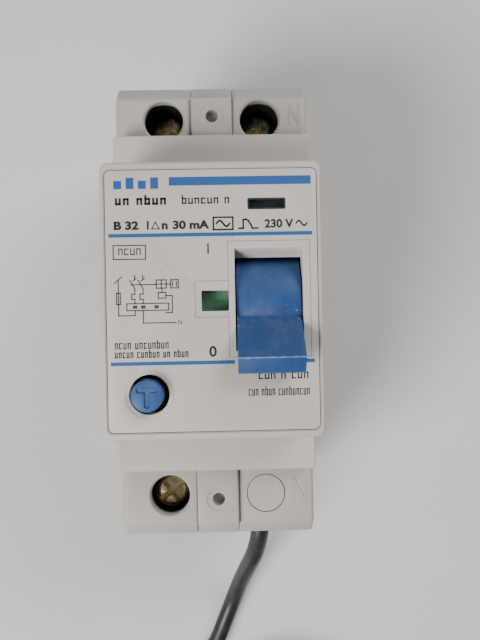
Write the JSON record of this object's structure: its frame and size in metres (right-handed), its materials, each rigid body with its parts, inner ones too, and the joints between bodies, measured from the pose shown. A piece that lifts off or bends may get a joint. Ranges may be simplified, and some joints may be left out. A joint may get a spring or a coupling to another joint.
{
  "type": "residual current device",
  "caption": "Two-module rail-mounted residual current circuit breaker with a toggle handle, a test button, screw terminals and a flying neutral lead.",
  "frame": {"origin": "middle of the device's footprint, at its back face, with the device lying on its back", "axes": "+Z out of the front face, +Y towards the end with two terminal screws, +X to the right as seen from the front"},
  "size_m": [0.0569, 0.1839, 0.0663],
  "materials": {
    "case_plastic": "fine spark-eroded light grey moulded plastic",
    "front_plastic": "light warm grey satin moulded plastic",
    "blue_plastic": "satin mid blue moulded plastic, lightly dusty",
    "flag_plastic": "matte green and red",
    "dark_plastic": "matte black moulded plastic",
    "clip_plastic": "satin dark grey acetal",
    "clear_plastic": "clear acrylic",
    "zinc_steel": "yellow passivated zinc",
    "steel": "plain drawn steel",
    "copper": "bare copper alloy",
    "insulation": "brown pressed fibre board",
    "board": "green solder mask",
    "lead_pvc": "black insulated wire, satin",
    "tinned_copper": "tinned copper"
  },
  "bodies": {
    "case": {"left_housing": "case_plastic", "right_housing": "case_plastic", "middle_partition": "case_plastic", "front_cover": "front_plastic", "front_plate": "front_plastic", "blanking_plug": "case_plastic", "case_rivet_1": "steel", "case_rivet_2": "steel", "case_rivet_3": "steel", "case_rivet_4": "steel", "handle_axle": "steel", "handle_spring": "steel", "status_window": "clear_plastic", "trip_window": "clear_plastic", "test_button_spring": "steel", "test_contact_blade": "copper", "terminal_cage_line_in": "zinc_steel", "terminal_cage_neutral_in": "zinc_steel", "terminal_cage_line_out": "zinc_steel", "terminal_bar_line_in": "copper", "terminal_bar_neutral_in": "copper", "terminal_bar_line_out": "copper", "trip_coil": "copper", "coil_yoke": "steel", "plunger_spring": "steel", "fixed_contact_line": "copper", "bimetal_strip": "steel", "calibration_screw": "zinc_steel", "trip_lever_spring": "steel", "arc_chute_frame": "insulation", "arc_plate_1": "steel", "arc_plate_2": "steel", "arc_plate_3": "steel", "arc_plate_4": "steel", "fixed_contact_neutral": "copper", "sensing_toroid": "dark_plastic", "trip_relay": "dark_plastic", "circuit_board": "board", "test_resistor": "insulation", "lead_bush": "dark_plastic", "neutral_lead": "lead_pvc", "neutral_lead_coil": "lead_pvc", "neutral_lead_ferrule": "tinned_copper"},
    "handle": {"toggle_handle": "blue_plastic"},
    "link": {"handle_link": "steel"},
    "line_arm": {"moving_contact_line": "copper"},
    "neutral_arm": {"moving_contact_neutral": "copper"},
    "status": {"status_flag": "flag_plastic"},
    "trip_indicator": {"trip_flag": "dark_plastic"},
    "button": {"test_button": "blue_plastic"},
    "plunger": {"coil_plunger": "steel"},
    "relay_pin": {"relay_plunger": "steel"},
    "lever": {"trip_lever": "dark_plastic"},
    "clip": {"din_clip": "clip_plastic"},
    "pad_line_in": {"terminal_pad_line_in": "zinc_steel"},
    "screw_line_in": {"terminal_screw_line_in": "zinc_steel"},
    "pad_neutral_in": {"terminal_pad_neutral_in": "zinc_steel"},
    "screw_neutral_in": {"terminal_screw_neutral_in": "zinc_steel"},
    "pad_line_out": {"terminal_pad_line_out": "zinc_steel"},
    "screw_line_out": {"terminal_screw_line_out": "zinc_steel"}
  },
  "joints": [
    {"name": "handle_pivot", "type": "hinge", "parent": "case", "child": "handle", "pos_m": [0, 0.00125, 0.0523], "axis": [-1, 0, 0], "range_deg": [0, 66]},
    {"name": "link_pivot", "type": "hinge", "parent": "handle", "child": "link", "pos_m": [0, 0.00425, 0.04769], "axis": [1, 0, 0], "range_deg": [0, 98]},
    {"name": "line_contact_pivot", "type": "hinge", "parent": "case", "child": "line_arm", "pos_m": [-0.0102, -0.004, 0.036], "axis": [1, 0, 0], "range_deg": [0, 14.6]},
    {"name": "neutral_contact_pivot", "type": "hinge", "parent": "case", "child": "neutral_arm", "pos_m": [0.009, -0.004, 0.036], "axis": [1, 0, 0], "range_deg": [0, 14.6]},
    {"name": "status_flag_pivot", "type": "hinge", "parent": "case", "child": "status", "pos_m": [0, 0.00125, 0.0523], "axis": [-1, 0, 0], "range_deg": [0, 40]},
    {"name": "trip_flag_slide", "type": "slide", "parent": "case", "child": "trip_indicator", "axis": [0, -1, 0], "range_m": [0, 0.0024]},
    {"name": "test_button_press", "type": "slide", "parent": "case", "child": "button", "axis": [0, 0, -1], "range_m": [0, 0.002], "stiffness_N_per_m": 300, "springref_m": -0.0005, "deforming": ["test_button_spring"]},
    {"name": "coil_plunger_slide", "type": "slide", "parent": "case", "child": "plunger", "axis": [0, -1, 0], "range_m": [0, 0.0019], "stiffness_N_per_m": 300, "deforming": ["plunger_spring"]},
    {"name": "relay_pin_slide", "type": "slide", "parent": "case", "child": "relay_pin", "axis": [0, 0, 1], "range_m": [0, 0.002], "stiffness_N_per_m": 300},
    {"name": "trip_lever_pivot", "type": "hinge", "parent": "case", "child": "lever", "pos_m": [-0.0102, 0.0054, 0.041], "axis": [-1, 0, 0], "range_deg": [0, 12], "stiffness_Nm_per_rad": 0.02},
    {"name": "din_clip_slide", "type": "slide", "parent": "case", "child": "clip", "axis": [0, -1, 0], "range_m": [0, 0.004], "stiffness_N_per_m": 400},
    {"name": "pad_line_in_lift", "type": "slide", "parent": "case", "child": "pad_line_in", "axis": [0, 0, 1], "range_m": [-0.0032, 0.0032]},
    {"name": "screw_line_in_turn", "type": "hinge", "parent": "pad_line_in", "child": "screw_line_in", "pos_m": [-0.00885, 0.0352, 0.03], "axis": [0, 0, 1], "range_deg": [-1441, 1441]},
    {"name": "pad_neutral_in_lift", "type": "slide", "parent": "case", "child": "pad_neutral_in", "axis": [0, 0, 1], "range_m": [-0.0032, 0.0032]},
    {"name": "screw_neutral_in_turn", "type": "hinge", "parent": "pad_neutral_in", "child": "screw_neutral_in", "pos_m": [0.00885, 0.0352, 0.03], "axis": [0, 0, 1], "range_deg": [-1441, 1441]},
    {"name": "pad_line_out_lift", "type": "slide", "parent": "case", "child": "pad_line_out", "axis": [0, 0, 1], "range_m": [-0.0064, 0]},
    {"name": "screw_line_out_turn", "type": "hinge", "parent": "pad_line_out", "child": "screw_line_out", "pos_m": [-0.00885, -0.0341, 0.03], "axis": [0, 0, 1], "range_deg": [-2881, 0]}
  ],
  "couplings": [
    {"joint": "link_pivot", "follows": "handle_pivot", "ratio": 1.4758},
    {"joint": "line_contact_pivot", "follows": "handle_pivot", "ratio": 0.2197},
    {"joint": "neutral_contact_pivot", "follows": "handle_pivot", "ratio": 0.2197},
    {"joint": "status_flag_pivot", "follows": "handle_pivot", "ratio": 0.6},
    {"joint": "screw_line_in_turn", "follows": "pad_line_in_lift", "rad_per_m": 7854},
    {"joint": "screw_neutral_in_turn", "follows": "pad_neutral_in_lift", "rad_per_m": 7854},
    {"joint": "screw_line_out_turn", "follows": "pad_line_out_lift", "rad_per_m": 7854}
  ]
}
